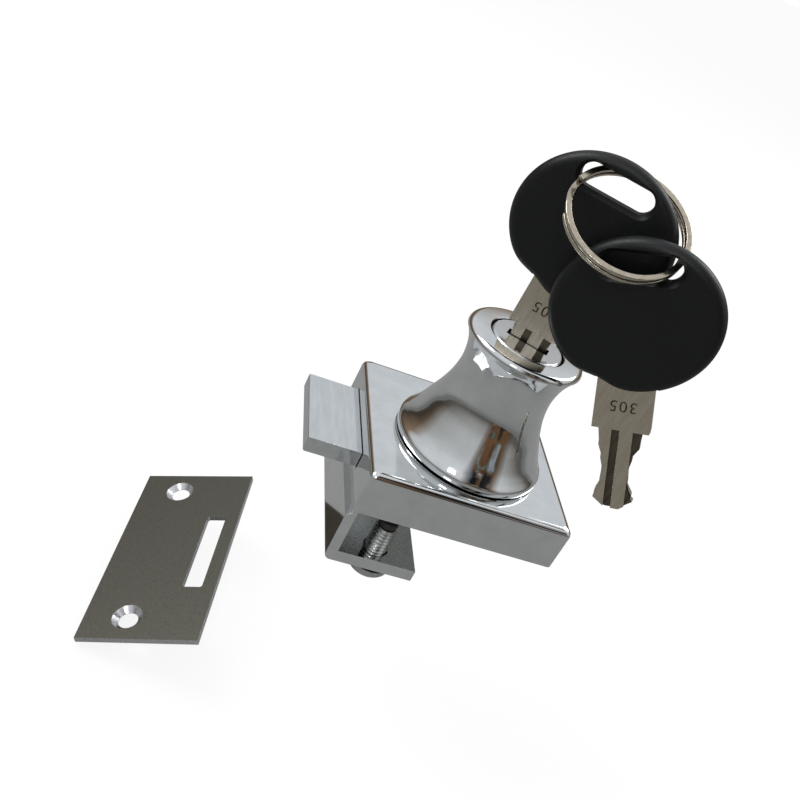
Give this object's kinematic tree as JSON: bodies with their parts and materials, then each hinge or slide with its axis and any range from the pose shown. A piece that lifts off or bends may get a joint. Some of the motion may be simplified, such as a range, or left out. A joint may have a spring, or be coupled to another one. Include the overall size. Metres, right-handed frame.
{
  "type": "glass door lock",
  "caption": "Clamp-on lock for a glass cabinet door: flat bolt thrown by a key cylinder in a waisted round knob, with keys on a split ring and a slotted strike plate.",
  "frame": {"origin": "where the knob's axis meets the pane's front face, on the back cover's outer face", "axes": "+Z out of the pane along the knob's axis, -X along the bolt as it is thrown, +Y across the bolt"},
  "size_m": [0.0825, 0.0564, 0.1242],
  "materials": {
    "chrome_zinc": "polished chrome plate on a zinc casting",
    "plated_steel": "zinc plated steel",
    "satin_steel": "dark satin nickel plate on steel",
    "wafer_brass": "stamped brass",
    "nickel_silver": "nickel plate",
    "black_plastic": "moulded, soft gloss",
    "dark_nylon": "moulded nylon"
  },
  "bodies": {
    "lock": {"housing": "chrome_zinc", "back_cover": "plated_steel", "cover_screw_1": "plated_steel", "cover_screw_2": "plated_steel", "cover_screw_3": "plated_steel", "cover_screw_4": "plated_steel", "knob": "chrome_zinc", "knob_screw_1": "plated_steel", "knob_screw_2": "plated_steel", "strike_plate": "satin_steel"},
    "cylinder": {"plug": "chrome_zinc", "plug_clip": "plated_steel", "cam": "plated_steel", "wafer_1": "wafer_brass", "wafer_2": "wafer_brass", "wafer_3": "wafer_brass", "wafer_4": "wafer_brass", "wafer_5": "wafer_brass", "wafer_spring_1": "plated_steel", "wafer_spring_2": "plated_steel", "wafer_spring_3": "plated_steel", "wafer_spring_4": "plated_steel", "wafer_spring_5": "plated_steel"},
    "bolt": {"bolt": "chrome_zinc"},
    "clamp_pad_1": {"clamp_pad_1": "dark_nylon"},
    "clamp_pad_2": {"clamp_pad_2": "dark_nylon"},
    "clamp_screw_1": {"clamp_screw_1": "plated_steel"},
    "clamp_screw_2": {"clamp_screw_2": "plated_steel"},
    "key_1": {"key_1_blade": "nickel_silver", "key_1_head": "black_plastic"},
    "ring": {"split_ring": "nickel_silver"},
    "key_2": {"key_2_blade": "nickel_silver", "key_2_head": "black_plastic"}
  },
  "joints": [
    {"name": "plug_turn", "type": "hinge", "parent": "lock", "child": "cylinder", "pos_m": [0, 0, 0.0341], "axis": [0, 0, 1], "range_deg": [-90, 0]},
    {"name": "bolt_slide", "type": "slide", "parent": "lock", "child": "bolt", "axis": [1, 0, 0], "range_m": [0, 0.0105]},
    {"name": "clamp_advance_1", "type": "slide", "parent": "lock", "child": "clamp_pad_1", "axis": [0, 0, -1], "range_m": [0, 0.006]},
    {"name": "clamp_turn_1", "type": "hinge", "parent": "clamp_pad_1", "child": "clamp_screw_1", "pos_m": [-0.0118, -0.0134, -0.008], "axis": [0, 0, 1], "range_deg": [0, 2700]},
    {"name": "clamp_advance_2", "type": "slide", "parent": "lock", "child": "clamp_pad_2", "axis": [0, 0, -1], "range_m": [0, 0.006]},
    {"name": "clamp_turn_2", "type": "hinge", "parent": "clamp_pad_2", "child": "clamp_screw_2", "pos_m": [-0.0118, 0.0166, -0.008], "axis": [0, 0, 1], "range_deg": [0, 2700]},
    {"name": "key_pull", "type": "slide", "parent": "cylinder", "child": "key_1", "axis": [0, 0, 1], "range_m": [-0.0021, 0.015]},
    {"name": "ring_swing", "type": "hinge", "parent": "key_1", "child": "ring", "pos_m": [-0.004, 0.00201, 0.06584], "axis": [-0.8031, -0.4407, -0.4011], "range_deg": [0, 15]},
    {"name": "key_2_swing", "type": "hinge", "parent": "ring", "child": "key_2", "pos_m": [0.01002, -0.01212, 0.05965], "axis": [-0.6392, -0.606, -0.4735], "range_deg": [-8, 12]}
  ],
  "couplings": [
    {"joint": "bolt_slide", "follows": "plug_turn", "m_per_rad": -0.0066845},
    {"joint": "clamp_turn_1", "follows": "clamp_advance_1", "rad_per_m": 7854},
    {"joint": "clamp_turn_2", "follows": "clamp_advance_2", "rad_per_m": 7854}
  ]
}
